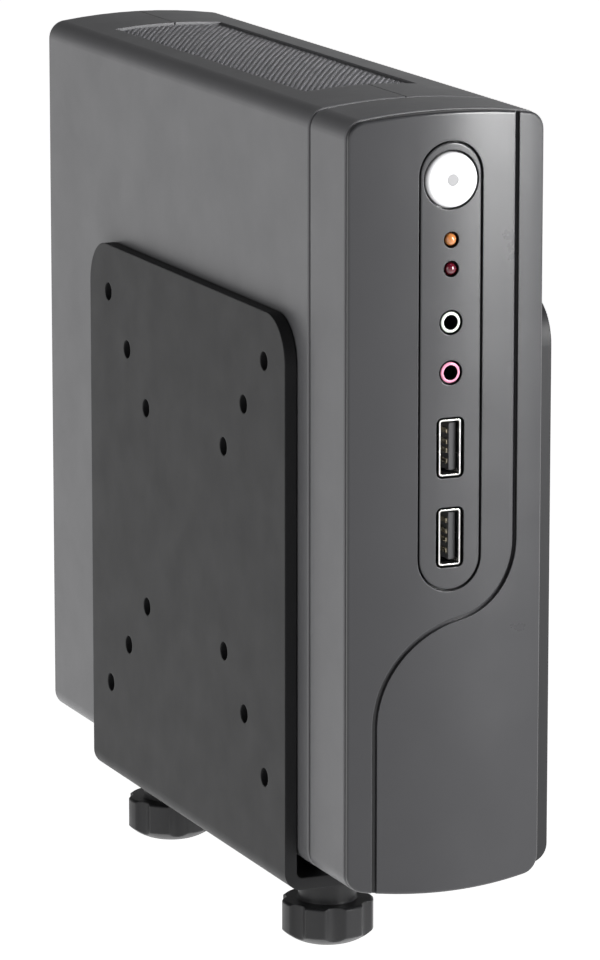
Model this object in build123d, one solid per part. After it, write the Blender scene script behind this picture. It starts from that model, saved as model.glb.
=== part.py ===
from build123d import *
import math
import os

os.makedirs("parts", exist_ok=True)

# All sizes in millimetres.
# Row frame: origin at the centre of the 100 mm mounting square, on the outer face of the cradle's
# left plate.  +X goes through the case to the right plate, +Y to the rear, +Z up.
# Case frame: x = 0 on the case's middle plane, y = 0 at the front edge, z = 0 at the bottom edge
# line.  Case pieces are drawn there and moved by the case location when they are saved.

# ---- cradle -------------------------------------------------------------------------------
plate_t = 3.0            # folded sheet
plate_l = 125.0          # plate length, front to rear
plate_top = 61.8         # top edge above the mounting centre
plate_corner_r = 11.0
bend_r = 4.5             # outside radius of both bends
gap_inside = 62.0        # clear width between the two plates
vesa_pitches = (50.0, 75.0, 100.0)
vesa_hole_r = 2.25

# ---- case ---------------------------------------------------------------------------------
case_w = 48.8
case_h = 178.5           # between the bottom and top side edge lines
case_l = 189.6
arch = 2.0               # rise of the top and bottom faces over the edge lines
corner_r = 4.5
wall = 2.0
side_gap = 0.3           # case to left plate
case_front = -90.15      # row Y of the case's front edge
case_lift = 4.2          # bottom edge line over the cradle floor
seam_half = 0.15         # half the joint between the two covers

# ---- front --------------------------------------------------------------------------------
band_y0 = 0.9            # front edge of the front band
band_l = 20.65           # rear edge of the front band
band_gap = 1.1           # shadow groove between band and covers
soft_r = 0.4             # rounding on the long edges of band and covers
shelf_y = 2.0            # front of the shelf inside the band
tongue_gap = 0.1         # band tongue inside the covers
tongue_t = 1.2
tongue_l = 5.0           # reach of the tongue under the covers
panel_inset = 0.15       # panel outline inside the case outline
panel_back = 0.1         # rear of the panel's flange: the groove to the band starts here
skirt_gap = 0.15         # panel skirt inside the band
skirt_t = 1.2
panel_bulge = 2.8
panel_t = 2.2
panel_edge_r = 0.6
edge_set = -0.9          # panel face at its side edges
groove_w = 1.2
groove_d = 1.1
groove_right = 16.9      # S-shaped groove: two straights joined by two arcs
groove_left = -18.0
groove_r1 = 17.4
groove_z1 = 80.3
groove_r2 = 25.2

# ---- port strip ---------------------------------------------------------------------------
strip_w = 16.0
strip_z0 = 69.6
strip_z1 = 173.9
strip_gap = 0.5
strip_edge_r = 0.35
button_z = 164.9
button_r = 6.35
button_gap = 0.5
mark_r = 1.35
button_travel = 1.2
led_z = (151.2, 144.5)
led_r = 1.4
led_gap = 0.5
jack_z = (132.2, 120.6)
jack_bore_r = 1.75
jack_nose_r = 2.4
jack_gap = 0.5
jack_half = 3.4          # half the height of a jack's body
usb_z = (103.2, 82.3)
usb_w = 5.4              # socket shell, across
usb_h = 13.1             # socket shell, up and down
usb_t = 0.35
usb_gap_x = 0.8          # border round each socket
usb_gap_z = 0.55

# ---- top vent -----------------------------------------------------------------------------
vent_x0 = -15.9
vent_x1 = 12.6
vent_y0 = 43.8
vent_y1 = 164.2
mesh_t = 0.8
mesh_lap = 1.8
mesh_pitch = 2.4
mesh_hole_r = 0.8
intake_w = 4.6           # fan intake slots in the right cover
intake_pitch = 8.0
intake_r = 34.0

# ---- clamp knobs --------------------------------------------------------------------------
knob_x = 16.2
knob_pitch = 100.0
stud_r = 3.0
stud_gap = 0.06
knob_r = 11.0
knob_lobes = 7
knob_rim = 8.3
knob_dome = 1.7
hub_r = 7.0
hub_l = 5.3
washer_t = 1.0
bush_r = 6.0
bush_spigot_r = 4.6
seat_z = -1.4            # flat seat under the case, in the case frame
insert_r = 4.5
insert_flange_t = 0.8
tip_set = 0.6            # stud tip below the top of the insert

# ---- inside -------------------------------------------------------------------------------
sheet_t = 1.0
fit = 0.2                # between neighbouring pieces
board_size = 170.0
board_t = 1.6
standoff_l = 5.0
corner_set = 5.0         # case screws in from both outer edges
lug_half = 3.0           # square lugs that take them
lug_l = 6.4
screw_l = 6.0
carrier_screw_r = 2.2    # head radius
bracket_t = 1.0          # drive bracket sheet

# ---- places worked out from the sizes above -------------------------------------------------
floor_top = -(100.0 / 2 + 21.9)
floor_bottom = floor_top - plate_t
case_x = plate_t + side_gap + case_w / 2
case_z = floor_top + case_lift
half_w = case_w / 2
cover_y0 = band_l + band_gap
rear_y = case_l - 0.8 - sheet_t
tongue_in = wall + tongue_gap + tongue_t
tray_x = -half_w + tongue_in + fit
floor_z = wall + 0.4
insert_top = floor_z + sheet_t + insert_flange_t
board_x = tray_x + sheet_t + standoff_l
board_y1 = rear_y - 0.4
board_y0 = board_y1 - board_size
board_z0 = insert_top + 2 * fit
insert_x = knob_x - case_x
insert_y = [s * knob_pitch / 2 - case_front for s in (-1, 1)]
mesh_box = (vent_x0 - mesh_lap, vent_x1 + mesh_lap, vent_y0 - mesh_lap, vent_y1 + mesh_lap)


def box(x0, x1, y0, y1, z0, z1):
    centre = Pos((x0 + x1) / 2, (y0 + y1) / 2, (z0 + z1) / 2)
    return centre * Box(x1 - x0, y1 - y0, z1 - z0)


def cyl_x(x0, x1, y, z, r):
    return Pos((x0 + x1) / 2, y, z) * Rot(0, 90, 0) * Cylinder(r, x1 - x0)


def cyl_y(y0, y1, x, z, r):
    return Pos(x, (y0 + y1) / 2, z) * Rot(90, 0, 0) * Cylinder(r, y1 - y0)


def cyl_z(z0, z1, x, y, r):
    return Pos(x, y, (z0 + z1) / 2) * Cylinder(r, z1 - z0)


def prism_x(sketch, x0, x1):
    """Sketch drawn as (y, z), run along X."""
    return extrude(Plane(origin=(x0, 0, 0), x_dir=(0, 1, 0), z_dir=(1, 0, 0)) * sketch, amount=x1 - x0)


def prism_y(sketch, y0, y1):
    """Sketch drawn as (x, z), run along Y."""
    return extrude(Plane(origin=(0, y1, 0), x_dir=(1, 0, 0), z_dir=(0, -1, 0)) * sketch, amount=y1 - y0)


def prism_z(sketch, z0, z1):
    return extrude(Pos(0, 0, z0) * sketch, amount=z1 - z0)


def slot(width, z0, z1):
    """Upright stadium between two heights."""
    middle = Pos(0, (z0 + z1) / 2) * Rectangle(width, z1 - z0 - width)
    low = Pos(0, z0 + width / 2) * Circle(width / 2)
    high = Pos(0, z1 - width / 2) * Circle(width / 2)
    return middle + low + high


def round_box_y(w, h, r, y0, y1, x, z):
    return prism_y(Pos(x, z) * RectangleRounded(w, h, r), y0, y1)


def profile(off):
    """Case cross-section (x, z), offset inwards."""
    w = half_w - off
    z0 = off
    z1 = case_h - off
    edge = Line((-w, z0), (-w, z1))
    top = ThreePointArc((-w, z1), (0, z1 + arch), (w, z1))
    side = Line((w, z1), (w, z0))
    base = ThreePointArc((w, z0), (0, z0 - arch), (-w, z0))
    face = make_face(Wire([edge, top, side, base]))
    return fillet(face.vertices(), max(corner_r - off, 0.8))


def ring(outer, inner, y0, y1):
    return prism_y(profile(outer), y0, y1) - prism_y(profile(inner), y0 - 1, y1 + 1)


def soft_ring(y0, y1):
    """Full-size ring with its outer edges rounded at both ends."""
    solid = prism_y(profile(0), y0, y1)
    ends = solid.edges().group_by(Axis.Y)
    solid = fillet(ends[0] + ends[-1], soft_r)
    return solid - prism_y(profile(wall), y0 - 1, y1 + 1)


def face_y(x, off=0.0):
    """Y of the bulged front face at x, set back by off."""
    w = half_w - panel_inset
    radius = (w * w + panel_bulge ** 2) / (2 * panel_bulge)
    centre = edge_set - panel_bulge + radius
    return centre - math.sqrt((radius - off) ** 2 - x * x)


def behind(off, y1):
    """Everything behind the bulged front face set back by off, up to y1."""
    w = half_w + 1
    front = ThreePointArc((-w, face_y(w, off)), (0, face_y(0, off)), (w, face_y(w, off)))
    right = Line((w, face_y(w, off)), (w, y1))
    rear = Line((w, y1), (-w, y1))
    left = Line((-w, y1), (-w, face_y(w, off)))
    return prism_z(make_face(Wire([front, right, rear, left])), -2 * arch - 5, case_h + 2 * arch + 5)


nodes = {}


def keep(name, shape, in_case=True):
    place = Pos(case_x, case_front, case_z) if in_case else Pos(0, 0, 0)
    nodes[name] = place * shape


# ---- cradle and knobs (row frame) -----------------------------------------------------------

def cradle():
    width = gap_inside + 2 * plate_t
    outer = box(0, width, -plate_l / 2, plate_l / 2, floor_bottom, plate_top)
    outer = fillet(outer.edges().filter_by(Axis.Y).group_by(Axis.Z)[0], bend_r)
    inner = box(plate_t, width - plate_t, -plate_l, plate_l, floor_top, plate_top + 5)
    inner = fillet(inner.edges().filter_by(Axis.Y).group_by(Axis.Z)[0], bend_r - plate_t)
    outline = Pos(0, (plate_top + floor_bottom) / 2) * Rectangle(plate_l, plate_top - floor_bottom)
    outline = fillet(outline.vertices().group_by(Axis.Y)[-1], plate_corner_r)
    sheet = (outer - inner) & prism_x(outline, -1, width + 1)
    drills = []
    for pitch in vesa_pitches:
        for sy in (-1, 1):
            for sz in (-1, 1):
                drills.append(cyl_x(-1, plate_t + 1, sy * pitch / 2, sz * pitch / 2, vesa_hole_r))
    for sy in (-1, 1):
        drills.append(cyl_z(floor_bottom - 1, floor_top + 1, knob_x, sy * knob_pitch / 2, bush_spigot_r))
    return sheet - drills


def bushes():
    seat = case_z + seat_z
    parts = []
    for sy in (-1, 1):
        y = sy * knob_pitch / 2
        body = cyl_z(floor_top, seat, knob_x, y, bush_r)
        body = chamfer(body.edges().filter_by(GeomType.CIRCLE).sort_by(Axis.Z)[-1], 0.4)
        body = body + cyl_z(floor_bottom, floor_top, knob_x, y, bush_spigot_r)
        parts.append(body - cyl_z(floor_bottom - 1, seat + 1, knob_x, y, stud_r + stud_gap))
    return Compound(children=parts)


def knob(y):
    top = floor_bottom - washer_t
    rim_top = top - hub_l
    rim_bottom = rim_top - knob_rim
    scallops = PolarLocations(knob_r + 1.9, knob_lobes) * Circle(3.1)
    star = Circle(knob_r) - scallops
    star = fillet(star.vertices(), 1.0)
    rim = prism_z(star, rim_bottom - knob_dome, rim_top)
    crown = knob_dome + 0.9
    low = rim_bottom - knob_dome
    arc = ThreePointArc((0, low), (knob_r * 0.72, low + 0.5), (knob_r, low + crown))
    side = Polyline((knob_r, low + crown), (knob_r + 0.2, rim_top - 0.6), (knob_r - 0.6, rim_top),
                    (0, rim_top), (0, low))
    turned = revolve(Plane.XZ * make_face(Wire([arc] + side.edges())), Axis.Z)
    body = rim & turned
    body = body + cyl_z(rim_top, top, 0, 0, hub_r)
    body = body - cyl_z(rim_top - 4, top + 1, 0, 0, stud_r)
    return Pos(knob_x, y, 0) * body


def stud(y):
    tip = case_z + insert_top - tip_set
    low = floor_bottom - washer_t - hub_l - 4
    body = cyl_z(low, tip, knob_x, y, stud_r)
    return chamfer(body.edges().filter_by(GeomType.CIRCLE).sort_by(Axis.Z)[-1], 0.7)


def washer(y):
    ring_shape = Circle(hub_r - 0.4) - Circle(stud_r + 0.2)
    return Pos(knob_x, y, 0) * prism_z(ring_shape, floor_bottom - washer_t, floor_bottom)


# ---- covers ---------------------------------------------------------------------------------

def vent_cut():
    """Opening over the mesh and the flat rebate it lies in."""
    a, b, c, d = mesh_box
    rebate = box(a - fit, b + fit, c - fit, d + fit, case_h - 6, case_h)
    return rebate + box(vent_x0, vent_x1, vent_y0, vent_y1, case_h - 6, case_h + arch + 4)


def cover(side):
    """Half shell on side -1 (left) or +1 (right)."""
    shell = soft_ring(cover_y0, case_l) - vent_cut()
    far = half_w + 5
    keep_box = box(min(side * seam_half, side * far), max(side * seam_half, side * far),
                   0, case_l + 5, -10, case_h + 10)
    half = shell & keep_box
    inside = prism_y(profile(wall / 2), rear_y - lug_l, rear_y)
    for x, z in corner_screws(side):
        half = half + (lug(x, z, 0) & inside)
        half = half - cyl_y(rear_y - screw_l, rear_y + 1, x, z, 1.25)
    if side < 0:
        for y in insert_y:
            half = half - cyl_z(-arch - 3, wall + 3, insert_x, y, insert_r + 0.3)
            half = half - cyl_z(-arch - 3, seat_z, insert_x, y, bush_r + 0.6)
    else:
        yc, zc = fan_centre()
        for i in range(-4, 5):
            reach = math.sqrt(intake_r ** 2 - (i * intake_pitch) ** 2)
            cut = slot(intake_w, zc - reach, zc + reach)
            half = half - prism_x(Pos(yc + i * intake_pitch, 0) * cut, half_w - wall - 1, half_w + 1)
    return half


def corner_screws(side):
    return [(side * (half_w - corner_set), z) for z in (corner_set, case_h - corner_set)]


def lug(x, z, gap):
    """Square block between a corner screw and the corner it stands in."""
    reach = lug_half + gap
    far = lug_half + corner_set
    x0, x1 = (x - reach, x + far) if x > 0 else (x - far, x + reach)
    z0, z1 = (z - reach, z + far) if z > case_h / 2 else (z - far, z + reach)
    return box(x0, x1, rear_y - lug_l - gap, rear_y, z0, z1)


def fan_centre():
    return board_y0 + 84.0, board_z0 + 108.0


def top_mesh():
    a, b, c, d = mesh_box
    outer = Wire.make_polygon([(a, c), (b, c), (b, d), (a, d)], close=True)
    holes = []
    step = mesh_pitch * math.sqrt(3) / 2
    rows = int((vent_y1 - vent_y0 - 2.4) / step)
    for j in range(rows + 1):
        y = (vent_y0 + vent_y1) / 2 + (j - rows / 2) * step
        shift = mesh_pitch / 2 if j % 2 else 0.0
        cols = int((vent_x1 - vent_x0 - 1.6 - mesh_pitch / 2) / mesh_pitch)
        for i in range(cols + 1):
            x = (vent_x0 + vent_x1) / 2 + (i - cols / 2) * mesh_pitch + shift - mesh_pitch / 4
            holes.append(Wire.make_circle(mesh_hole_r, Plane(origin=(x, y, 0))))
    return extrude(Pos(0, 0, case_h - mesh_t) * Face(outer, holes), amount=mesh_t)


# ---- front ----------------------------------------------------------------------------------

def front_band():
    band = soft_ring(band_y0, band_l)
    tongue = ring(wall + tongue_gap, tongue_in, band_l - 4, cover_y0 + tongue_l)
    bridge = ring(wall - 0.2, tongue_in, band_l - 4, band_l)
    shelf = ring(wall - 0.2, wall + 1.8, shelf_y, shelf_y + 1.2)
    return band + bridge + tongue + shelf


def groove_tool():
    c1 = (groove_right - groove_r1, groove_z1)
    c2x = groove_left + groove_r2
    drop = math.sqrt((groove_r1 + groove_r2) ** 2 - (c1[0] - c2x) ** 2)
    c2 = (c2x, groove_z1 - drop)
    share = groove_r1 / (groove_r1 + groove_r2)
    joint = (c1[0] + (c2[0] - c1[0]) * share, c1[1] + (c2[1] - c1[1]) * share)
    a1 = math.atan2(joint[1] - c1[1], joint[0] - c1[0]) / 2
    mid1 = (c1[0] + groove_r1 * math.cos(a1), c1[1] + groove_r1 * math.sin(a1))
    a2 = (math.atan2(joint[1] - c2[1], joint[0] - c2[0]) + math.pi) / 2
    mid2 = (c2[0] + groove_r2 * math.cos(a2), c2[1] + groove_r2 * math.sin(a2))
    path = Wire([Line((groove_right, case_h + 6), (groove_right, groove_z1)),
                 ThreePointArc((groove_right, groove_z1), mid1, joint),
                 ThreePointArc(joint, mid2, (groove_left, c2[1])),
                 Line((groove_left, c2[1]), (groove_left, -8))])
    return prism_y(trace(path, line_width=groove_w), -8, 4) - behind(groove_d, 6)


def front_panel():
    plate = prism_y(profile(panel_inset), -8, panel_back) & behind(0, panel_back)
    faces = plate.faces().sort_by(Axis.Y)
    plate = fillet(faces[0].edges(), panel_edge_r)
    skirt_in = wall + skirt_gap
    block = plate + prism_y(profile(skirt_in), panel_back - 0.5, shelf_y - 0.2)
    hollow = prism_y(profile(skirt_in + skirt_t), -8, 4) & behind(panel_t, 4)
    window = prism_y(slot(strip_w, strip_z0, strip_z1), -8, 4)
    return block - hollow - window - groove_tool()


def port_panel():
    inner = slot(strip_w - 2 * strip_gap, strip_z0 + strip_gap, strip_z1 - strip_gap)
    plug = prism_y(inner, -8, 4) & (behind(0.1, 6) - behind(panel_t + 0.3, 7))
    plug = fillet(plug.faces().sort_by(Axis.Y)[0].outer_wire().edges(), strip_edge_r)
    back = slot(strip_w + 2.4, strip_z0 - 1.2, strip_z1 + 1.2)
    flange = prism_y(back, -8, 4) & (behind(panel_t + 0.1, 6) - behind(panel_t + 1.1, 7))
    body = plug + flange
    body = body - cyl_y(-8, 5, 0, button_z, button_r + button_gap)
    for z in led_z:
        body = body - cyl_y(-8, 5, 0, z, led_r + led_gap)
    for z in jack_z:
        body = body - cyl_y(-8, 5, 0, z, jack_nose_r + jack_gap)
    for z in usb_z:
        body = body - round_box_y(usb_w + 2 * usb_gap_x, usb_h + 2 * usb_gap_z, 1.6, -8, 5, 0, z)
    return body


def button_front():
    return face_y(0) - 0.5


def button_back():
    return face_y(0) + panel_t + 1.1


def power_button():
    y0 = button_front()
    y1 = button_back() + 0.5
    cap = cyl_y(y0, y1, 0, button_z, button_r)
    cap = fillet(cap.edges().filter_by(GeomType.CIRCLE).sort_by(Axis.Y)[0], 0.9)
    flange = cyl_y(y1, y1 + 1.0, 0, button_z, button_r + button_gap + 0.8)
    stem = cyl_y(y1 + 1.0, y1 + 2.0, 0, button_z, 2.2)
    return cap + flange + stem - cyl_y(y0 - 1, y0 + 1.0, 0, button_z, mark_r)


def button_mark():
    y0 = button_front()
    return cyl_y(y0 + 0.05, y0 + 1.0, 0, button_z, mark_r)


def switch_plunger():
    y = button_back() + 2.5
    return cyl_y(y, y + 3.4, 0, button_z, 1.5)


def power_switch():
    y = button_back() + 2.5 + 1.9
    body = box(-4.0, 4.0, y, y + 5.0, button_z - 3.5, button_z + 3.5)
    return body - cyl_y(y - 1, y + 1.5 + button_travel + 0.4, 0, button_z, 1.56)


def led(z):
    y0 = face_y(0) - 0.5
    y1 = button_back()
    body = cyl_y(y0 + led_r, y1, 0, z, led_r)
    body = body + Pos(0, y0 + led_r, z) * Sphere(led_r)
    body = body + cyl_y(y1, y1 + 1.0, 0, z, led_r + 0.4)
    legs = [cyl_y(y1 + 1.0, y1 + 6.0, 0, z + s * 0.9, 0.3) for s in (-1, 1)]
    return body + legs


def io_y0():
    return button_back() + 0.15


def jack_ring(z):
    y0 = face_y(0) + 0.2
    body = cyl_y(y0, io_y0(), 0, z, jack_nose_r)
    body = chamfer(body.edges().filter_by(GeomType.CIRCLE).sort_by(Axis.Y)[0], 0.25)
    return body - cyl_y(y0 - 1, io_y0() + 1, 0, z, jack_bore_r)


def jack_body(z):
    y0 = io_y0()
    body = box(-usb_w / 2, usb_w / 2 + 0.6, y0, y0 + 12.5, z - jack_half, z + jack_half)
    return body - cyl_y(y0 - 1, y0 + 11.5, 0, z, jack_bore_r)


def usb_shell(z):
    y0 = face_y(0) + 0.3
    y1 = io_y0() + 11.0
    outer = round_box_y(usb_w, usb_h, 0.7, y0, y1, 0, z)
    inner = round_box_y(usb_w - 2 * usb_t, usb_h - 2 * usb_t, 0.4, y0 - 1, y1 - usb_t, 0, z)
    return outer - inner


def usb_tongues():
    y0 = face_y(0) + 1.6
    y1 = io_y0() + 11.0 - usb_t
    half = usb_h / 2 - 1.05
    return Compound(children=[box(0.25, 1.95, y0, y1, z - half, z + half) for z in usb_z])


def usb_contacts():
    y0 = face_y(0) + 2.2
    y1 = io_y0() + 8.0
    parts = []
    for z in usb_z:
        for k in (-3.5, -1.0, 1.0, 3.5):
            parts.append(box(-0.05, 0.25, y0, y1, z + k - 0.5, z + k + 0.5))
    return Compound(children=parts)


def board_front():
    return 3.6, usb_z[1] - usb_h / 2 - 6.0, button_z - 8.5


def carrier_z():
    low = board_front()[1] + 2.8
    middle = (jack_z[1] - jack_half + usb_z[0] + usb_h / 2) / 2
    return low, middle, button_z - 11.5


def front_board():
    y0, z0, z1 = board_front()
    body = box(-usb_w / 2 - board_t, -usb_w / 2, y0, y0 + 12.0, z0, z1)
    for z in carrier_z():
        body = body - cyl_x(-usb_w, 0, y0 + 9.0, z, 1.35)
    return body


def io_carrier():
    y0, z0, z1 = board_front()
    x0 = -half_w + wall + 0.1
    x1 = -usb_w / 2 - board_t
    body = box(x0, x0 + 1.6, y0, y0 + 12.0, z0, button_z + 5)
    for z in carrier_z():
        body = body + cyl_x(x0 + 1.0, x1, y0 + 9.0, z, 2.6)
        body = body - cyl_x(x1 - 6, x1 + 1, y0 + 9.0, z, 0.85)
    sw = button_back() + 2.5 + 1.9
    return body + box(x0 + 1.0, -4.0, sw + 0.6, sw + 4.4, button_z - 3.0, button_z + 3.0)


def io_screws():
    y = board_front()[0] + 9.0
    x1 = -usb_w / 2
    parts = []
    for z in carrier_z():
        head = cyl_x(x1, x1 + 1.2, y, z, carrier_screw_r)
        parts.append(head + cyl_x(x1 - board_t - 5, x1, y, z, 0.8))
    return Compound(children=parts)


def front_cable():
    top = board_x + board_t
    y0 = board_front()[0] + 5.0
    z = (jack_z[0] + led_z[1]) / 2
    start = (top + 5.0, board_y0 + 4.5, z)
    end = (-usb_w / 2 - board_t - 2.4, y0, z)
    path = Spline(start, (start[0] + 2.0, board_y0 + 1.5, z), (end[0] - 3.0, y0 + 3.5, z), end,
                  tangents=[(1, 0, 0), (1, 0, 0)])
    cord = sweep(Plane(origin=start, z_dir=(1, 0, 0)) * Circle(1.1), path=path)
    header = box(top, top + 5.2, board_y0 + 2.0, board_y0 + 7.0, z - 6.0, z + 6.0)
    plug = box(-usb_w / 2 - board_t - 2.6, -usb_w / 2 - board_t, y0 - 2.0, y0 + 2.0, z - 5.0, z + 5.0)
    return header + cord + plug


# ---- chassis and board ----------------------------------------------------------------------

def shield_box():
    return board_x - 1.0, half_w - wall - 4.5, board_z0 + 6.0, board_z0 + 6.0 + 158.75


def chassis():
    y0 = cover_y0 + tongue_l + 1.0
    inside = prism_y(profile(wall + fit), y0, rear_y + sheet_t)
    tray = box(tray_x, tray_x + sheet_t, y0, rear_y, 0, case_h)
    floor = box(tray_x, half_w, y0, rear_y, floor_z, floor_z + sheet_t)
    rear = box(-half_w, half_w, rear_y, rear_y + sheet_t, -arch, case_h + arch)
    body = (tray + floor + rear) & inside
    apron = box(tray_x, tray_x + sheet_t, min(board_y0 - 1.0, y0), y0 + 1.0, 0, case_h)
    body = body + (apron & prism_y(profile(tongue_in + fit), 0, y0 + 2))
    sx0, sx1, sz0, sz1 = shield_box()
    body = body - box(sx0, sx1, rear_y - 1, rear_y + 2 * sheet_t, sz0, sz1)
    for side in (-1, 1):
        for x, z in corner_screws(side):
            body = body - lug(x, z, 2 * fit)
            body = body - cyl_y(rear_y - 1, rear_y + 2 * sheet_t, x, z, 1.7)
    for y in insert_y:
        body = body - cyl_z(0, 6, insert_x, y, insert_r)
    for y, z in board_holes():
        body = body - cyl_x(tray_x - 1, tray_x + 2, y, z, 1.55)
    return body


def board_holes():
    pts = []
    for dy in (10.16, 165.1):
        for dz in (6.35, 163.83):
            pts.append((board_y1 - dy, board_z0 + dz))
    return pts


def base_inserts():
    parts = []
    for y in insert_y:
        body = cyl_z(seat_z, insert_top, insert_x, y, insert_r)
        body = body + cyl_z(insert_top - insert_flange_t, insert_top, insert_x, y, insert_r + 1.5)
        parts.append(body - cyl_z(seat_z - 1, insert_top + 1, insert_x, y, stud_r + stud_gap))
    return Compound(children=parts)


def motherboard():
    body = box(board_x, board_x + board_t, board_y0, board_y1, board_z0, board_z0 + board_size)
    for y, z in board_holes():
        body = body - cyl_x(board_x - 1, board_x + 3, y, z, 1.98)
    return body


def standoffs():
    parts = []
    for y, z in board_holes():
        hexagon = Pos(y, z) * RegularPolygon(3.1, 6)
        body = prism_x(hexagon, tray_x + sheet_t, board_x) + cyl_x(tray_x, tray_x + sheet_t, y, z, 1.55)
        parts.append(body - cyl_x(board_x - 4, board_x + 1, y, z, 1.25))
    return Compound(children=parts)


def board_screws():
    top = board_x + board_t
    parts = []
    for y, z in board_holes():
        parts.append(cyl_x(top, top + 1.6, y, z, 2.9) + cyl_x(top - 5.0, top, y, z, 1.22))
    return Compound(children=parts)


def cpu_socket():
    yc, zc = fan_centre()
    top = board_x + board_t
    return box(top, top + 3.4, yc - 24, yc + 24, zc - 24, zc + 24) - box(
        top + 1.0, top + 5, yc - 19, yc + 19, zc - 19, zc + 19)


def cpu():
    yc, zc = fan_centre()
    top = board_x + board_t + 1.0
    base = box(top, top + 1.2, yc - 18.75, yc + 18.75, zc - 18.75, zc + 18.75)
    lid = box(top + 1.2, top + 3.4, yc - 15.5, yc + 15.5, zc - 15.5, zc + 15.5)
    return base + lid


def sink_x():
    return board_x + board_t + 4.4


def heatsink():
    yc, zc = fan_centre()
    x0 = sink_x()
    half = 37.0
    comb = Pos(x0 + 1.5, yc) * Rectangle(3.0, 2 * half)
    count = 19
    for i in range(count):
        y = yc - half + 0.5 + i * (2 * half - 1.0) / (count - 1)
        comb = comb + Pos(x0 + 7.0, y) * Rectangle(10.0, 1.0)
    body = prism_z(comb, zc - half, zc + half)
    for sy in (-1, 1):
        for sz in (-1, 1):
            body = body - cyl_x(x0 - 1, x0 + 14, yc + sy * 31, zc + sz * 31, 3.0)
            body = body + (cyl_x(x0, x0 + 3, yc + sy * 31, zc + sz * 31, 3.2)
                           - cyl_x(x0 - 1, x0 + 4, yc + sy * 31, zc + sz * 31, 1.7))
    return body


def sink_screws():
    yc, zc = fan_centre()
    top = sink_x() + 3.0
    parts = []
    for sy in (-1, 1):
        for sz in (-1, 1):
            y = yc + sy * 31
            z = zc + sz * 31
            parts.append(cyl_x(top, top + 2.0, y, z, 2.7)
                         + cyl_x(board_x + board_t, top, y, z, 1.5))
    return Compound(children=parts)


def fan_frame():
    yc, zc = fan_centre()
    x0 = sink_x() + 12.0
    outline = Pos(yc, zc) * (RectangleRounded(70, 70, 4) - Circle(33.0))
    body = prism_x(outline, x0, x0 + 10.0)
    arms = Pos(yc, zc) * (Rectangle(68, 2.4) + Rectangle(2.4, 68) + Circle(12.5))
    body = body + prism_x(arms, x0, x0 + 1.5)
    body = body + cyl_x(x0, x0 + 7.0, yc, zc, 1.5)
    for sy in (-1, 1):
        for sz in (-1, 1):
            body = body - cyl_x(x0 - 1, x0 + 11, yc + sy * 31, zc + sz * 31, 2.1)
    return body


def fan_rotor():
    yc, zc = fan_centre()
    x0 = sink_x() + 12.0
    hub = cyl_x(x0 + 2.0, x0 + 9.4, 0, 0, 13.5)
    hub = fillet(hub.edges().filter_by(GeomType.CIRCLE).sort_by(Axis.X)[-1], 1.0)
    hub = hub - cyl_x(x0 + 1, x0 + 7.5, 0, 0, 1.55)
    blade = Pos(0, 22.8) * Rectangle(1.4, 19.6)
    piece = prism_x(blade, x0 + 2.4, x0 + 8.8)
    tilted = Pos(x0 + 5.6, 0, 0) * Rot(0, 0, 32) * Pos(-x0 - 5.6, 0, 0) * piece
    tilted = tilted & (cyl_x(x0 + 2.2, x0 + 9.2, 0, 0, 32.2))
    body = hub
    for i in range(7):
        body = body + Rot(i * 360 / 7, 0, 0) * tilted
    return Pos(0, yc, zc) * body


def memory_place():
    yc, zc = fan_centre()
    return board_y0 + 8.0, zc - 40.0


def memory_sockets():
    y0, z0 = memory_place()
    top = board_x + board_t
    parts = []
    for k in range(2):
        x = top + 4.4 * k
        reach = 5.5 + 4.0 * k
        parts.append(box(x, x + 4.0, y0, y0 + reach, z0, z0 + 70.0)
                     - box(x + 1.6, x + 2.8, y0 + 1.6, y0 + reach + 1, z0 + 1.0, z0 + 69.0))
    return Compound(children=parts)


def memory_modules():
    y0, z0 = memory_place()
    parts = []
    for k in range(2):
        x = board_x + board_t + 4.4 * k + 1.7
        edge = y0 + 5.5 + 4.0 * k
        plate = box(x, x + 1.0, y0 + 1.8, edge + 22.0, z0 + 1.2, z0 + 68.8)
        chips = [box(x + 1.0, x + 2.1, edge + 3, edge + 12, z0 + 4 + i * 16.5, z0 + 16 + i * 16.5)
                 for i in range(4)]
        parts.append(plate + chips)
    return Compound(children=parts)


def cell_place():
    return board_y0 + 60.0, board_z0 + 40.0


def battery_holder():
    y, z = cell_place()
    top = board_x + board_t
    return cyl_x(top, top + 4.6, y, z, 11.6) - cyl_x(top + 1.0, top + 6, y, z, 10.05)


def cell():
    y, z = cell_place()
    top = board_x + board_t + 1.0
    return cyl_x(top, top + 3.2, y, z, 10.0)


def power_stage():
    yc, zc = fan_centre()
    top = board_x + board_t
    parts = [box(top, top + 6.0, yc + 43 + 9 * i, yc + 50 + 9 * i, zc + 30, zc + 37) for i in range(3)]
    parts += [cyl_x(top, top + 8.0, yc + 46.5 + 9 * i, zc + 46, 3.15) for i in range(3)]
    return Compound(children=parts)


def chipset_sink():
    top = board_x + board_t
    y0 = board_y0 + 108.0
    z0 = board_z0 + 16.0
    comb = Pos(top + 1.0, y0 + 16) * Rectangle(2.0, 32)
    for i in range(9):
        comb = comb + Pos(top + 4.0, y0 + 0.8 + i * 3.8) * Rectangle(5.0, 1.2)
    return prism_z(comb, z0, z0 + 32)


# ---- rear ports -----------------------------------------------------------------------------

def port_depth(depth):
    return rear_y + sheet_t - depth, rear_y + sheet_t + 0.6


def rear_lan():
    y0, y1 = port_depth(21.0)
    top = board_x + board_t
    z0 = board_z0 + 96.0
    body = box(top, top + 13.4, y0, y1, z0, z0 + 16.0)
    return body - box(top + 1.2, top + 10.4, y1 - 12, y1 + 1, z0 + 2.0, z0 + 14.0)


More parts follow.
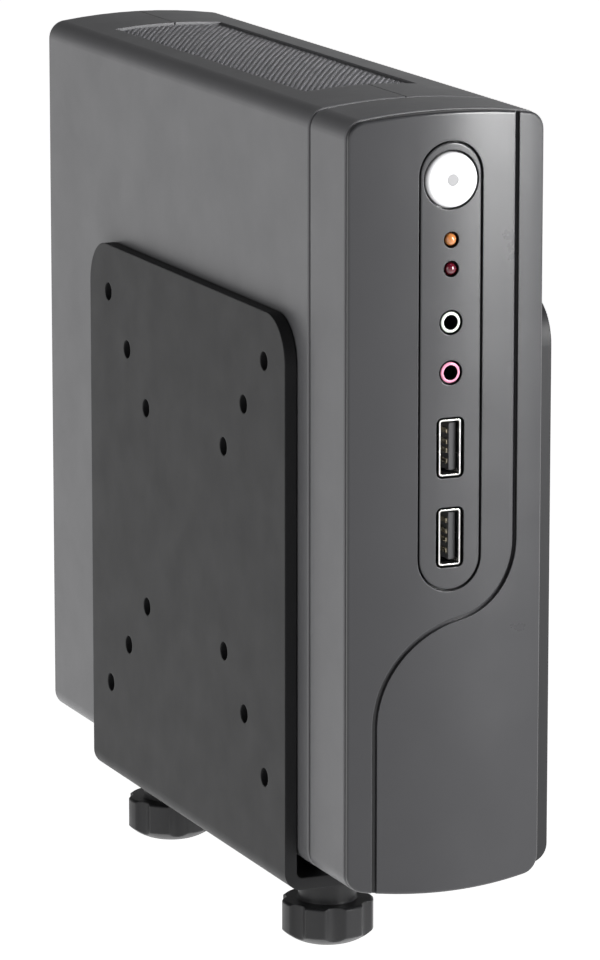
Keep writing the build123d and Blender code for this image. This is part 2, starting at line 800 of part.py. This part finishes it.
def rear_usb_shells():
    y0, y1 = port_depth(17.0)
    top = board_x + board_t
    parts = []
    for z0 in (board_z0 + 74.0, board_z0 + 54.0):
        body = box(top, top + 15.6, y0, y1, z0, z0 + 14.6)
        for k in range(2):
            x = top + 1.0 + k * 7.6
            body = body - box(x, x + 5.4, y1 - 9, y1 + 1, z0 + 1.0, z0 + 13.6)
        parts.append(body)
    return Compound(children=parts)


def rear_tongues():
    y0, y1 = port_depth(17.0)
    top = board_x + board_t
    parts = []
    for z0 in (board_z0 + 74.0, board_z0 + 54.0):
        for k in range(2):
            x = top + 1.0 + k * 7.6
            parts.append(box(x + 0.7, x + 2.4, y1 - 9, y1 - 1.5, z0 + 2.0, z0 + 12.6))
    z0 = board_z0 + 34.0
    parts.append(box(top + 2.6, top + 3.6, y1 - 8, y1 - 1.5, z0 + 2.0, z0 + 13.0))
    return Compound(children=parts)


def rear_video():
    y0, y1 = port_depth(12.0)
    top = board_x + board_t
    z0 = board_z0 + 34.0
    body = box(top, top + 6.2, y0, y1, z0, z0 + 15.0)
    return body - box(top + 0.8, top + 5.4, y1 - 8, y1 + 1, z0 + 0.8, z0 + 14.2)


def rear_jacks():
    y0, y1 = port_depth(14.0)
    top = board_x + board_t
    parts = []
    for i in range(2):
        z = board_z0 + 124.0 + 12.0 * i
        body = box(top, top + 11.0, y0, y1 - 2.5, z - 5.0, z + 5.0)
        body = body + cyl_y(y1 - 2.5, y1, top + 6.0, z, 3.0)
        parts.append(body - cyl_y(y0 + 1, y1 + 1, top + 6.0, z, jack_bore_r))
    return Compound(children=parts)


def dc_jack():
    y0, y1 = port_depth(14.0)
    top = board_x + board_t
    z = board_z0 + 18.0
    body = box(top, top + 11.0, y0, y1 - 2.0, z - 4.5, z + 4.5) + cyl_y(y1 - 2.0, y1, top + 6.0, z, 4.0)
    return body - cyl_y(y1 - 10.5, y1 + 1, top + 6.0, z, 2.75)


def dc_pin():
    y0, y1 = port_depth(14.0)
    return cyl_y(y1 - 10.5, y1 - 1.5, board_x + board_t + 6.0, board_z0 + 18.0, 1.05)


def io_shield():
    sx0, sx1, sz0, sz1 = shield_box()
    y0 = rear_y + sheet_t
    body = box(sx0 - 1.2, sx1 + 1.2, y0, y0 + 0.4, sz0 - 1.2, sz1 + 1.2)
    body = body + box(sx0 + 0.05, sx1 - 0.05, rear_y, y0, sz0 + 0.05, sz1 - 0.05)
    body = body - box(sx0 + 0.5, sx1 - 0.5, y0 - 3, y0, sz0 + 0.5, sz1 - 0.5)
    top = board_x + board_t
    g = 0.25
    zb = board_z0
    body = body - box(top - g, top + 13.4 + g, y0 - 3, y0 + 2, zb + 96 - g, zb + 112 + g)
    for z0 in (zb + 74.0, zb + 54.0):
        body = body - box(top - g, top + 15.6 + g, y0 - 3, y0 + 2, z0 - g, z0 + 14.6 + g)
    body = body - box(top - g, top + 6.2 + g, y0 - 3, y0 + 2, zb + 34 - g, zb + 49 + g)
    for i in range(2):
        body = body - cyl_y(y0 - 3, y0 + 2, top + 6.0, zb + 124 + 12 * i, 3.2)
    body = body - cyl_y(y0 - 3, y0 + 2, top + 6.0, zb + 18, 4.2)
    return body


def rear_screws():
    y = rear_y + sheet_t
    parts = []
    for x, z in corner_screws(-1) + corner_screws(1):
        head = cyl_y(y, y + 1.8, x, z, 2.8)
        head = head - box(x - 2.0, x + 2.0, y + 1.0, y + 3, z - 0.35, z + 0.35)
        head = head - box(x - 0.35, x + 0.35, y + 1.0, y + 3, z - 2.0, z + 2.0)
        parts.append(head + cyl_y(y - screw_l, y, x, z, 1.22))
    return Compound(children=parts)


# ---- drive ----------------------------------------------------------------------------------

def drive_box():
    x1 = half_w - wall - 2.6
    y0 = board_y0 + 30.0
    z0 = floor_z + sheet_t + bracket_t + 0.1
    return x1 - 7.0, x1, y0, y0 + 100.2, z0, z0 + 69.85


def drive():
    x0, x1, y0, y1, z0, z1 = drive_box()
    body = box(x0, x1, y0, y1, z0, z1)
    body = fillet(body.edges().filter_by(Axis.X), 2.0)
    for y in (y0 + 14.0, y0 + 90.6):
        for z in (z0, z1):
            body = body - cyl_z(z - 3, z + 3, (x0 + x1) / 2, y, 1.3)
    return body


def drive_bracket():
    x0, x1, y0, y1, z0, z1 = drive_box()
    a = x1 + 0.05
    b = a + bracket_t
    low_z = z0 - 0.1 - bracket_t
    high_z = z1 + 0.1 + bracket_t
    plate = box(a, b, y0 + 4, y1 - 4, low_z, high_z)
    low = box(x0 + 1.0, b, y0 + 4, y1 - 4, low_z, z0 - 0.1)
    high = box(x0 + 1.0, b, y0 + 4, y1 - 4, z1 + 0.1, high_z)
    body = plate + low + high
    for y in (y0 + 14.0, y0 + 90.6):
        body = body - cyl_z(z0 - 4, z1 + 4, (x0 + x1) / 2, y, 1.7)
    return body


for node_name, shape in (
        ("cradle", cradle()), ("clamp_bushes", bushes()),
        ("knob_front", knob(-knob_pitch / 2)), ("knob_rear", knob(knob_pitch / 2)),
        ("stud_front", stud(-knob_pitch / 2)), ("stud_rear", stud(knob_pitch / 2)),
        ("washer_front", washer(-knob_pitch / 2)), ("washer_rear", washer(knob_pitch / 2))):
    keep(node_name, shape, in_case=False)

for node_name, shape in (
        ("left_cover", cover(-1)), ("right_cover", cover(1)), ("top_mesh", top_mesh()),
        ("front_band", front_band()), ("front_panel", front_panel()), ("port_panel", port_panel()),
        ("power_button", power_button()), ("button_mark", button_mark()),
        ("switch_plunger", switch_plunger()), ("power_switch", power_switch()),
        ("led_amber", led(led_z[0])), ("led_red", led(led_z[1])),
        ("headphone_ring", jack_ring(jack_z[0])), ("headphone_jack", jack_body(jack_z[0])),
        ("microphone_ring", jack_ring(jack_z[1])), ("microphone_jack", jack_body(jack_z[1])),
        ("usb_upper", usb_shell(usb_z[0])), ("usb_lower", usb_shell(usb_z[1])),
        ("usb_tongues", usb_tongues()), ("usb_contacts", usb_contacts()),
        ("front_board", front_board()), ("io_carrier", io_carrier()), ("io_screws", io_screws()),
        ("chassis", chassis()), ("base_inserts", base_inserts()), ("motherboard", motherboard()),
        ("standoffs", standoffs()), ("board_screws", board_screws()), ("cpu_socket", cpu_socket()),
        ("cpu", cpu()), ("heatsink", heatsink()), ("sink_screws", sink_screws()),
        ("fan_frame", fan_frame()), ("fan_rotor", fan_rotor()), ("memory_sockets", memory_sockets()),
        ("memory_modules", memory_modules()), ("battery_holder", battery_holder()),
        ("clock_battery", cell()), ("power_stage", power_stage()), ("front_cable", front_cable()),
        ("chipset_sink", chipset_sink()), ("rear_lan", rear_lan()), ("rear_usb", rear_usb_shells()),
        ("rear_tongues", rear_tongues()), ("rear_video", rear_video()),
        ("rear_jacks", rear_jacks()), ("dc_jack", dc_jack()), ("dc_pin", dc_pin()),
        ("io_shield", io_shield()), ("rear_screws", rear_screws()), ("drive", drive()),
        ("drive_bracket", drive_bracket())):
    keep(node_name, shape)

for node_name, shape in nodes.items():
    export_step(shape, "parts/" + node_name + ".step")
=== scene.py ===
import math

import bmesh
import bpy
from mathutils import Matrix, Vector


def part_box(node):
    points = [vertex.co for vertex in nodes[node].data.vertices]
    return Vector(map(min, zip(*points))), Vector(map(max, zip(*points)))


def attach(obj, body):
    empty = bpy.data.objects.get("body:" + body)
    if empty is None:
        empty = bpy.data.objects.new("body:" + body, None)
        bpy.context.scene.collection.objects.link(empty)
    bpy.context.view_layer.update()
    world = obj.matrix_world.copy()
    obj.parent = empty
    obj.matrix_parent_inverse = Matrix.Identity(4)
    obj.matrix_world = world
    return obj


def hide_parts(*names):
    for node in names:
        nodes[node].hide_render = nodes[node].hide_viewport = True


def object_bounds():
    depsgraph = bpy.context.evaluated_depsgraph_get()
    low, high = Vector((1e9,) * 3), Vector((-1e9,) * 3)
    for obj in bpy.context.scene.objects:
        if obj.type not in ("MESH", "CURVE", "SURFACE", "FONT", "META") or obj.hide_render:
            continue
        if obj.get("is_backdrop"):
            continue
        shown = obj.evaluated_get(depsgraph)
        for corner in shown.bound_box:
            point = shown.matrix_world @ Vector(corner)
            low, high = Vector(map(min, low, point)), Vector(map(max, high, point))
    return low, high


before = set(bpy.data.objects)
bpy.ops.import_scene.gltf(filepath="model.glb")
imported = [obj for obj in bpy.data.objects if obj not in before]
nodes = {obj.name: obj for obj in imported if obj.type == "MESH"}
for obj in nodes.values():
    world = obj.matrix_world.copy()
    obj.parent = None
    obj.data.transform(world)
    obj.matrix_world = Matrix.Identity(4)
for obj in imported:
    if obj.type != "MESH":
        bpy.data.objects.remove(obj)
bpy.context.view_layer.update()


# ---- node helpers ---------------------------------------------------------------------------

def new_material(name):
    mat = bpy.data.materials.new(name)
    mat.use_nodes = True
    tree = mat.node_tree
    return mat, tree, tree.nodes["Principled BSDF"]


def add(tree, kind, **values):
    node = tree.nodes.new(kind)
    for key, value in values.items():
        setattr(node, key, value)
    return node


def place(tree):
    """Object coordinates, in metres."""
    return add(tree, "ShaderNodeTexCoord").outputs["Object"]


def noise(tree, where, scale, detail=3.0, rough=0.55):
    node = add(tree, "ShaderNodeTexNoise")
    node.inputs["Scale"].default_value = scale
    node.inputs["Detail"].default_value = detail
    node.inputs["Roughness"].default_value = rough
    tree.links.new(where, node.inputs["Vector"])
    return node.outputs["Fac"]


def span(tree, value, low, high, a=0.3, b=0.7):
    """Value from a to b, stretched to run from low to high."""
    node = add(tree, "ShaderNodeMapRange")
    node.inputs["From Min"].default_value = a
    node.inputs["From Max"].default_value = b
    node.inputs["To Min"].default_value = low
    node.inputs["To Max"].default_value = high
    tree.links.new(value, node.inputs["Value"])
    return node.outputs["Result"]


def mix(tree, fac, a, b):
    node = add(tree, "ShaderNodeMix", data_type="RGBA")
    tree.links.new(fac, node.inputs["Factor"])
    for socket, value in (("A", a), ("B", b)):
        target = [s for s in node.inputs if s.name == socket and s.type == "RGBA"][0]
        if isinstance(value, tuple):
            target.default_value = (*value, 1.0)
        else:
            tree.links.new(value, target)
    return [s for s in node.outputs if s.type == "RGBA"][0]


def bump(tree, height, strength, distance, under=None):
    node = add(tree, "ShaderNodeBump")
    node.inputs["Strength"].default_value = strength
    node.inputs["Distance"].default_value = distance
    tree.links.new(height, node.inputs["Height"])
    if under is not None:
        tree.links.new(under, node.inputs["Normal"])
    return node.outputs["Normal"]


def soft_edge(tree, radius):
    node = add(tree, "ShaderNodeBevel", samples=4)
    node.inputs["Radius"].default_value = radius
    return node.outputs["Normal"]


def edge_mask(tree, radius):
    """Near one where the surface turns within the radius: marks the edges whose base colour is lightened."""
    rounded = soft_edge(tree, radius)
    flat = add(tree, "ShaderNodeNewGeometry").outputs["Normal"]
    dot = add(tree, "ShaderNodeVectorMath", operation="DOT_PRODUCT")
    tree.links.new(rounded, dot.inputs[0])
    tree.links.new(flat, dot.inputs[1])
    return span(tree, dot.outputs["Value"], 1.0, 0.0, 0.80, 0.995)


def painted_shade_walls(tree, tone):
    """Painted shade: near black on walls that run front to rear, where a bore or a narrow gap lies in shade.
    """
    split = add(tree, "ShaderNodeSeparateXYZ")
    tree.links.new(add(tree, "ShaderNodeTexCoord").outputs["Normal"], split.inputs["Vector"])
    across = add(tree, "ShaderNodeMath", operation="ABSOLUTE")
    tree.links.new(split.outputs["Y"], across.inputs[0])
    return mix(tree, span(tree, across.outputs["Value"], 0.0, 1.0, 0.15, 0.45), (0.004, 0.004, 0.004), tone)


def moulded(name, colour, rough=(0.35, 0.5), grain=0.00028, depth=0.00002, edge=0.0003,
            coat=0.0, specular=0.5, edge_lift=1.25, cloud=0.06, walls=False):
    """Moulded plastic: spark grain, cloudy gloss, base colour lighter along the edges."""
    mat, tree, shader = new_material(name)
    where = place(tree)
    clouds = noise(tree, where, 30.0, 4.0)
    dark = tuple(c * (1 - cloud) for c in colour)
    light = tuple(min(c * (1 + cloud), 1.0) for c in colour)
    tone = mix(tree, span(tree, clouds, 0.0, 1.0), dark, light)
    # Base colour lighter along the edges, raised by edge_lift.
    tone = mix(tree, edge_mask(tree, edge), tone, tuple(min(c * edge_lift, 1.0) for c in colour))
    # Painted shade on walls that run front to rear, in the parts that ask for it.
    tone = painted_shade_walls(tree, tone) if walls else tone
    tree.links.new(tone, shader.inputs["Base Color"])
    fine = noise(tree, where, 1.0 / grain, 2.0)
    smudge = noise(tree, where, 55.0, 5.0, 0.65)
    tree.links.new(span(tree, smudge, rough[0], rough[1]), shader.inputs["Roughness"])
    tree.links.new(bump(tree, fine, 0.6, depth, soft_edge(tree, edge)), shader.inputs["Normal"])
    shader.inputs["Coat Weight"].default_value = coat
    shader.inputs["Coat Roughness"].default_value = 0.12
    shader.inputs["Specular IOR Level"].default_value = specular
    return mat


def coated(name, colour, specular):
    """Powder coat on sheet: orange peel over a fine grain."""
    mat, tree, shader = new_material(name)
    where = place(tree)
    clouds = noise(tree, where, 22.0, 4.0)
    tone = mix(tree, span(tree, clouds, 0.0, 1.0), tuple(c * 0.97 for c in colour),
               tuple(c * 1.03 for c in colour))
    # Base colour lighter along the edges.
    tone = mix(tree, edge_mask(tree, 0.0004), tone, tuple(c * 1.5 for c in colour))
    tree.links.new(tone, shader.inputs["Base Color"])
    peel = noise(tree, where, 1400.0, 3.0)
    grit = noise(tree, where, 4200.0, 2.0)
    tree.links.new(span(tree, noise(tree, where, 90.0, 5.0), 0.46, 0.52), shader.inputs["Roughness"])
    first = bump(tree, peel, 0.35, 0.00003, soft_edge(tree, 0.0005))
    tree.links.new(bump(tree, grit, 0.4, 0.000012, first), shader.inputs["Normal"])
    shader.inputs["Specular IOR Level"].default_value = specular
    return mat


def metal(name, colour, rough=(0.22, 0.4), stretch=(1, 1, 1), scale=900.0, depth=0.000008):
    """Bare or plated metal, with fine marks drawn out by stretch."""
    mat, tree, shader = new_material(name)
    shader.inputs["Metallic"].default_value = 1.0
    where = place(tree)
    mapping = add(tree, "ShaderNodeMapping")
    mapping.inputs["Scale"].default_value = stretch
    tree.links.new(where, mapping.inputs["Vector"])
    lines = noise(tree, mapping.outputs["Vector"], scale, 3.0)
    clouds = noise(tree, where, 60.0, 4.0)
    tone = mix(tree, span(tree, clouds, 0.0, 1.0), tuple(c * 0.9 for c in colour), colour)
    tree.links.new(tone, shader.inputs["Base Color"])
    tree.links.new(span(tree, lines, rough[0], rough[1]), shader.inputs["Roughness"])
    tree.links.new(bump(tree, lines, 0.4, depth, soft_edge(tree, 0.0002)), shader.inputs["Normal"])
    return mat


def board_green():
    """Solder mask over a faint pattern of tracks."""
    mat, tree, shader = new_material("board_mask")
    where = place(tree)
    cells = add(tree, "ShaderNodeTexBrick")
    cells.inputs["Scale"].default_value = 260.0
    cells.inputs["Mortar Size"].default_value = 0.03
    cells.inputs["Color1"].default_value = (0.012, 0.10, 0.035, 1)
    cells.inputs["Color2"].default_value = (0.014, 0.085, 0.032, 1)
    cells.inputs["Mortar"].default_value = (0.02, 0.16, 0.06, 1)
    swap = add(tree, "ShaderNodeMapping")
    swap.inputs["Rotation"].default_value = (0, math.radians(90), 0)
    tree.links.new(where, swap.inputs["Vector"])
    tree.links.new(swap.outputs["Vector"], cells.inputs["Vector"])
    tree.links.new(cells.outputs["Color"], shader.inputs["Base Color"])
    tree.links.new(span(tree, noise(tree, where, 200.0), 0.25, 0.42), shader.inputs["Roughness"])
    return mat


def lens(name, colour):
    """Clear tinted plastic over a dull core."""
    mat, tree, shader = new_material(name)
    where = place(tree)
    clouds = span(tree, noise(tree, where, 500.0), 0.0, 1.0)
    tone = mix(tree, clouds, tuple(c * 0.8 for c in colour), colour)
    tree.links.new(tone, shader.inputs["Base Color"])
    shader.inputs["Roughness"].default_value = 0.08
    shader.inputs["Coat Weight"].default_value = 0.6
    shader.inputs["Subsurface Weight"].default_value = 0.3
    shader.inputs["Subsurface Radius"].default_value = (0.001, 0.0004, 0.0002)
    return mat


grey = moulded("case_grey", (0.108, 0.108, 0.113), rough=(0.36, 0.44), depth=0.000012, edge_lift=1.35, cloud=0.04)
panel = moulded("front_satin", (0.024, 0.024, 0.026), rough=(0.27, 0.33), depth=0.000008,
                coat=0.08, edge_lift=2.2, specular=0.42, cloud=0.04)
strip = moulded("strip_satin", (0.028, 0.028, 0.030), rough=(0.27, 0.33), depth=0.000008,
                coat=0.08, edge_lift=2.2, specular=0.42, cloud=0.04, walls=True)
white = moulded("button_white", (0.50, 0.50, 0.51), rough=(0.2, 0.28), depth=0.000004, edge_lift=1.05, cloud=0.02)
black = moulded("black_plastic", (0.012, 0.012, 0.014), rough=(0.38, 0.55), edge_lift=2.0)
knob_black = moulded("knob_black", (0.013, 0.013, 0.014), rough=(0.33, 0.46), depth=0.00002,
                     edge=0.0006, edge_lift=2.2, specular=0.36)
mark = moulded("mark_grey", (0.20, 0.20, 0.205), rough=(0.3, 0.4), depth=0.000004, edge_lift=1.6)
pale = moulded("jack_pale", (0.62, 0.68, 0.60), rough=(0.25, 0.35), edge_lift=1.05, cloud=0.03, walls=True)
pink = moulded("jack_pink", (0.58, 0.22, 0.32), rough=(0.25, 0.35), edge_lift=1.1, cloud=0.03, walls=True)
cream = moulded("cream_plastic", (0.70, 0.69, 0.64), rough=(0.35, 0.5), edge_lift=1.05)
paint = coated("bracket_coat", (0.012, 0.012, 0.013), 0.24)
# Vent mesh: its own grey coat, lightened to stand in for the glints on the mesh, so partly painted sheen.
mesh_paint_and_sheen = coated("mesh_coat_and_sheen", (0.15, 0.15, 0.16), 0.6)
zinc = metal("zinc_plate", (0.78, 0.79, 0.80), rough=(0.25, 0.42), scale=500.0)
nickel = metal("nickel_plate", (0.78, 0.77, 0.75), rough=(0.15, 0.28), stretch=(1, 0.1, 1))
sheet = metal("galvanised", (0.62, 0.63, 0.64), rough=(0.32, 0.5), scale=250.0)
gold = metal("contact_gold", (0.76, 0.68, 0.52), rough=(0.2, 0.3))
brass = metal("turned_brass", (0.74, 0.56, 0.28), rough=(0.2, 0.36), stretch=(1, 1, 8))
alu = metal("extruded_aluminium", (0.80, 0.81, 0.82), rough=(0.3, 0.45), stretch=(1, 1, 0.05))
drive_alu = metal("drive_aluminium", (0.66, 0.67, 0.69), rough=(0.3, 0.42), stretch=(1, 0.05, 1))
green = board_green()
amber = lens("amber_lens", (0.44, 0.17, 0.05))
red = lens("red_lens", (0.085, 0.004, 0.012))

dress = {
    paint: ["cradle"],
    zinc: ["clamp_bushes", "stud_front", "stud_rear", "washer_front", "washer_rear"],
    knob_black: ["knob_front", "knob_rear"],
    grey: ["left_cover", "right_cover", "front_band"],
    mesh_paint_and_sheen: ["top_mesh"],
    panel: ["front_panel"],
    strip: ["port_panel"],
    white: ["power_button"],
    mark: ["button_mark"],
    black: ["switch_plunger", "power_switch", "headphone_jack", "microphone_jack", "usb_tongues",
            "io_carrier", "front_cable", "cpu_socket", "fan_frame", "fan_rotor", "battery_holder",
            "power_stage", "rear_tongues", "rear_jacks", "dc_jack"],
    amber: ["led_amber"],
    red: ["led_red"],
    pale: ["headphone_ring"],
    pink: ["microphone_ring"],
    nickel: ["usb_upper", "usb_lower", "io_screws", "board_screws", "cpu", "sink_screws", "clock_battery",
             "rear_lan", "rear_usb", "rear_video", "rear_screws"],
    gold: ["usb_contacts"],
    green: ["front_board", "motherboard", "memory_modules"],
    sheet: ["chassis", "io_shield", "drive_bracket"],
    brass: ["base_inserts", "standoffs", "dc_pin"],
    alu: ["heatsink", "chipset_sink"],
    drive_alu: ["drive"],
    cream: ["memory_sockets"],
}
for material, names in dress.items():
    for name in names:
        slots = nodes[name].data.materials
        if not slots:
            slots.append(material)
        for i in range(len(slots)):
            slots[i] = material


# ---- perforated top vent --------------------------------------------------------------------

vent_pitch = 0.00155        # across the flats of one cell
vent_hole_r = 0.00053
vent_sheet = 0.0006
vent_sink = 0.00065         # top of the sheet below the crown of the case
vent_margin_x = 0.0012      # plain border left at both edges together
vent_margin_y = 0.0008
case_arch = 0.002
row_step = vent_pitch * math.sqrt(3) / 2
corner_r = vent_pitch / math.sqrt(3)
sides = 12


def perforated_vent():
    """Hexagonal cells, each with a round hole, on the arch of the case top."""
    lo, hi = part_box("top_mesh")
    case_lo, case_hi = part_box("front_band")
    centre_x = (case_lo.x + case_hi.x) / 2
    half = (case_hi.x - case_lo.x) / 2
    crown = case_hi.z - vent_sink
    rows = int((hi.y - lo.y - vent_margin_y) / row_step)
    cols = int((hi.x - lo.x - vent_margin_x) / vent_pitch)
    bm = bmesh.new()

    def vertex(x, y, reach, angle):
        px, py = x + reach * math.cos(angle), y + reach * math.sin(angle)
        return bm.verts.new((px, py, crown - case_arch * ((px - centre_x) / half) ** 2))

    for j in range(rows):
        y = (lo.y + hi.y) / 2 + (j - (rows - 1) / 2) * row_step
        shift = 0.25 if j % 2 else -0.25
        for i in range(cols):
            x = (lo.x + hi.x) / 2 + (i - (cols - 1) / 2 + shift) * vent_pitch
            outer, inner = [], []
            for k in range(sides):
                angle = 2 * math.pi * (k + 1) / sides
                outer.append(vertex(x, y, vent_pitch / 2 if k % 2 else corner_r, angle))
                inner.append(vertex(x, y, vent_hole_r, angle))
            for k in range(sides):
                n = (k + 1) % sides
                bm.faces.new((outer[k], outer[n], inner[n], inner[k]))
    bmesh.ops.remove_doubles(bm, verts=bm.verts, dist=0.00002)
    data = bpy.data.meshes.new("fine_vent")
    bm.to_mesh(data)
    bm.free()
    obj = bpy.data.objects.new("fine_vent", data)
    bpy.context.collection.objects.link(obj)
    solid = obj.modifiers.new("sheet", "SOLIDIFY")
    solid.thickness = vent_sheet
    solid.offset = -1
    data.materials.append(mesh_paint_and_sheen)
    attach(obj, "case")
    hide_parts("top_mesh")


perforated_vent()


# ---- stage, light and camera ----------------------------------------------------------------

floor_drop = 0.6            # the object is held by its plate, well above the floor
floor_size = 20.0


def floor():
    """Plain pale sheet, lit a little from within."""
    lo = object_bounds()[0]
    bm = bmesh.new()
    bmesh.ops.create_grid(bm, x_segments=2, y_segments=2, size=floor_size)
    data = bpy.data.meshes.new("floor")
    bm.to_mesh(data)
    bm.free()
    obj = bpy.data.objects.new("floor", data)
    bpy.context.collection.objects.link(obj)
    obj.location = (0, 0, lo.z - floor_drop)
    mat, _, shader = new_material("pale_floor")
    shader.inputs["Base Color"].default_value = (0.93, 0.93, 0.93, 1)
    shader.inputs["Roughness"].default_value = 0.8
    shader.inputs["Emission Color"].default_value = (1, 1, 1, 1)
    shader.inputs["Emission Strength"].default_value = 0.90
    data.materials.append(mat)
    obj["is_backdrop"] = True


def lamp(name, spot, target, size, power):
    data = bpy.data.lights.new(name, "AREA")
    data.shape = "RECTANGLE"
    data.size, data.size_y = size
    data.energy = power
    obj = bpy.data.objects.new(name, data)
    bpy.context.collection.objects.link(obj)
    obj.location = spot
    obj.rotation_euler = (Vector(target) - Vector(spot)).to_track_quat("-Z", "Y").to_euler()


def sky():
    """Bright at the horizon and dim overhead, as in a room of tall soft boxes."""
    world = bpy.data.worlds.new("studio")
    bpy.context.scene.world = world
    world.use_nodes = True
    tree = world.node_tree
    split = add(tree, "ShaderNodeSeparateXYZ")
    tree.links.new(add(tree, "ShaderNodeTexCoord").outputs["Generated"], split.inputs["Vector"])
    level = span(tree, split.outputs["Z"], 0.66, 0.12, 0.02, 0.24)
    tree.links.new(level, tree.nodes["Background"].inputs["Strength"])
    tree.nodes["Background"].inputs["Color"].default_value = (1, 1, 1, 1)


def light():
    sky()
    lamp("front_box", (0.50, -0.72, 0.28), (0.03, -0.09, 0.06), (0.26, 0.60), 17.0)
    lamp("side_box", (-1.3, -0.5, 0.35), (0.0, 0.0, 0.0), (0.8, 1.0), 4.5)
    lamp("rear_box", (1.5, 0.45, 0.1), (0.0, 0.0, 0.0), (0.8, 1.0), 4.0)


view_turn = math.radians(23.075)        # to the left of straight on
view_rise = math.radians(12.078)
view_distance = 1.3
view_left = 0.03282                     # aim point, left of and above the case's lower front edge
view_above = 0.09289
focal_length = 209.985
sensor_size = 36.0


def camera():
    """Long lens, in front and to the left of the case, looking slightly down."""
    phi, theta = view_turn, view_rise
    right = Vector((math.cos(phi), -math.sin(phi), 0))
    up = Vector((math.sin(phi) * math.sin(theta), math.cos(phi) * math.sin(theta), math.cos(theta)))
    back = Vector((-math.sin(phi) * math.cos(theta), -math.cos(phi) * math.cos(theta), math.sin(theta)))
    front_edge = Vector((0.0277, -0.09015, -0.0677))    # middle of the case's lower front edge
    data = bpy.data.cameras.new("camera")
    data.sensor_fit = "AUTO"
    data.sensor_width = sensor_size
    data.lens = focal_length
    data.clip_start, data.clip_end = 0.05, 60.0
    obj = bpy.data.objects.new("camera", data)
    bpy.context.collection.objects.link(obj)
    obj.location = front_edge - right * view_left + up * view_above + back * view_distance
    obj.rotation_mode = "QUATERNION"
    obj.rotation_quaternion = (-back).to_track_quat("-Z", "Y")
    bpy.context.scene.camera = obj


floor()
light()
camera()
bpy.context.scene.view_settings.view_transform = "Standard"
